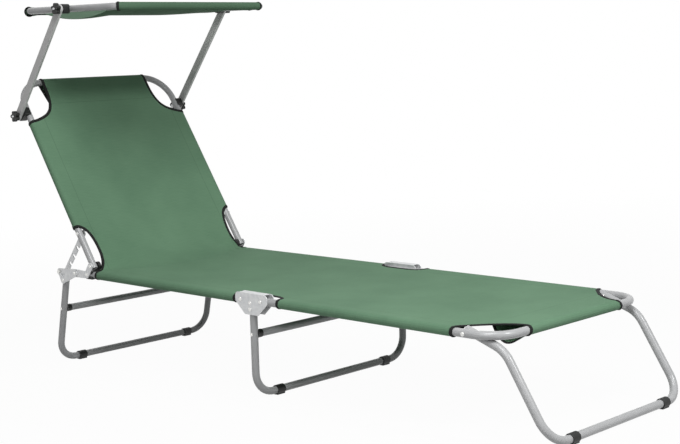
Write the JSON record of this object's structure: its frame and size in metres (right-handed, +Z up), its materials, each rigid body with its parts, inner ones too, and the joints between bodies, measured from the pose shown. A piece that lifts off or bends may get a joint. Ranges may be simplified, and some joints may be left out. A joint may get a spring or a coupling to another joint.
{
  "type": "sun lounger with canopy",
  "caption": "Folding sun lounger: steel tube frame on U legs, green cloth bed, adjustable backrest with notched stays, and a tilting cloth canopy on clamp-on side arms.",
  "frame": {"origin": "on the floor, in the middle of the lounger's overall box in plan, with the backrest raised and the legs out", "axes": "+X towards the foot end, +Y to the left of a person lying on it, +Z up"},
  "size_m": [1.87, 0.6306, 1.0284],
  "materials": {
    "frame_tube": "silver grey powder coat on steel tube",
    "pressed_plate": "bright zinc plated pressed steel",
    "rivet_steel": "bright plated rivets and pins",
    "black_plastic": "fine grained black moulded plastic",
    "green_cloth": "coated green woven cloth with black bound edges"
  },
  "bodies": {
    "seat": {"seat_tube_left": "frame_tube", "seat_tube_right": "frame_tube", "rear_hinge_plate_left": "pressed_plate", "rear_hinge_plate_right": "pressed_plate", "hinge_saddle_left": "black_plastic", "hinge_saddle_right": "black_plastic", "backrest_hinge_pin_left": "rivet_steel", "backrest_hinge_pin_right": "rivet_steel", "adjuster_hook_pin_left": "rivet_steel", "adjuster_hook_pin_right": "rivet_steel", "rear_leg_pin_left": "rivet_steel", "rear_leg_pin_right": "rivet_steel", "middle_bracket_left": "pressed_plate", "middle_bracket_right": "pressed_plate", "foot_hinge_pin_left": "rivet_steel", "foot_hinge_pin_right": "rivet_steel", "middle_leg_pin_left": "rivet_steel", "middle_leg_pin_right": "rivet_steel", "seat_cloth": "green_cloth"},
    "backrest": {"backrest_frame": "frame_tube", "backrest_cloth": "green_cloth", "backrest_clamp_left": "black_plastic", "backrest_clamp_right": "black_plastic", "backrest_clamp_bolt_left": "pressed_plate", "backrest_clamp_bolt_right": "pressed_plate", "adjuster_pin_left": "black_plastic", "adjuster_pin_right": "black_plastic"},
    "adjuster_left": {"adjuster_bar_left": "pressed_plate"},
    "adjuster_right": {"adjuster_bar_right": "pressed_plate"},
    "backrest_knob_left": {"backrest_knob_left": "black_plastic"},
    "backrest_knob_right": {"backrest_knob_right": "black_plastic"},
    "canopy_arms": {"canopy_arm_left": "frame_tube", "canopy_arm_right": "frame_tube"},
    "canopy": {"canopy_frame": "frame_tube", "canopy_frame_joiner": "pressed_plate", "canopy_cloth": "green_cloth", "canopy_spacer_left": "black_plastic", "canopy_spacer_right": "black_plastic", "canopy_bolt_left": "pressed_plate", "canopy_bolt_right": "pressed_plate"},
    "canopy_knob_left": {"canopy_knob_left": "black_plastic"},
    "canopy_knob_right": {"canopy_knob_right": "black_plastic"},
    "rear_leg": {"rear_leg": "frame_tube", "rear_brace": "frame_tube", "rear_leg_plate_left": "pressed_plate", "rear_leg_plate_right": "pressed_plate", "rear_foot_left": "black_plastic", "rear_foot_right": "black_plastic"},
    "middle_leg": {"middle_leg": "frame_tube", "middle_brace": "frame_tube", "middle_foot_left": "black_plastic", "middle_foot_right": "black_plastic"},
    "foot_section": {"foot_frame": "frame_tube", "foot_cloth": "green_cloth", "front_leg_pin_left": "rivet_steel", "front_leg_pin_right": "rivet_steel"},
    "front_leg": {"front_leg": "frame_tube", "front_foot_left": "black_plastic", "front_foot_right": "black_plastic"}
  },
  "joints": [
    {"name": "backrest_hinge", "type": "hinge", "parent": "seat", "child": "backrest", "pos_m": [-0.60085, 0, 0.296], "axis": [0, 1, 0], "range_deg": [-55, 68]},
    {"name": "adjuster_lift_left", "type": "hinge", "parent": "backrest", "child": "adjuster_left", "pos_m": [-0.65649, 0.26735, 0.38505], "axis": [0, 1, 0], "range_deg": [0, 60]},
    {"name": "adjuster_lift_right", "type": "hinge", "parent": "backrest", "child": "adjuster_right", "pos_m": [-0.65649, -0.26735, 0.38505], "axis": [0, 1, 0], "range_deg": [0, 60]},
    {"name": "backrest_knob_turn_left", "type": "hinge", "parent": "backrest", "child": "backrest_knob_left", "pos_m": [-0.88468, 0.3048, 0.72003], "axis": [0, 1, 0], "range_deg": [0, 360]},
    {"name": "backrest_knob_turn_right", "type": "hinge", "parent": "backrest", "child": "backrest_knob_right", "pos_m": [-0.88468, -0.3048, 0.72003], "axis": [0, 1, 0], "range_deg": [0, 360]},
    {"name": "canopy_arms_swing", "type": "hinge", "parent": "backrest", "child": "canopy_arms", "pos_m": [-0.88468, 0, 0.72003], "axis": [0, 1, 0], "range_deg": [-160, 40]},
    {"name": "canopy_tilt", "type": "hinge", "parent": "canopy_arms", "child": "canopy", "pos_m": [-0.63597, 0, 1.008], "axis": [0, 1, 0], "range_deg": [-90, 90]},
    {"name": "canopy_knob_turn_left", "type": "hinge", "parent": "canopy", "child": "canopy_knob_left", "pos_m": [-0.63597, 0.3048, 1.008], "axis": [0, 1, 0], "range_deg": [0, 360]},
    {"name": "canopy_knob_turn_right", "type": "hinge", "parent": "canopy", "child": "canopy_knob_right", "pos_m": [-0.63597, -0.3048, 1.008], "axis": [0, 1, 0], "range_deg": [0, 360]},
    {"name": "rear_leg_fold", "type": "hinge", "parent": "seat", "child": "rear_leg", "pos_m": [-0.6746, 0, 0.27331], "axis": [0, 1, 0], "range_deg": [-103, 0]},
    {"name": "middle_leg_fold", "type": "hinge", "parent": "seat", "child": "middle_leg", "pos_m": [0.06135, 0, 0.22817], "axis": [0, 1, 0], "range_deg": [-90, 0]},
    {"name": "foot_section_fold", "type": "hinge", "parent": "seat", "child": "foot_section", "pos_m": [0.10002, 0, 0.24896], "axis": [0, 1, 0], "range_deg": [0, 92]},
    {"name": "front_leg_fold", "type": "hinge", "parent": "foot_section", "child": "front_leg", "pos_m": [0.72771, 0, 0.22924], "axis": [0, 1, 0], "range_deg": [0, 120]}
  ]
}
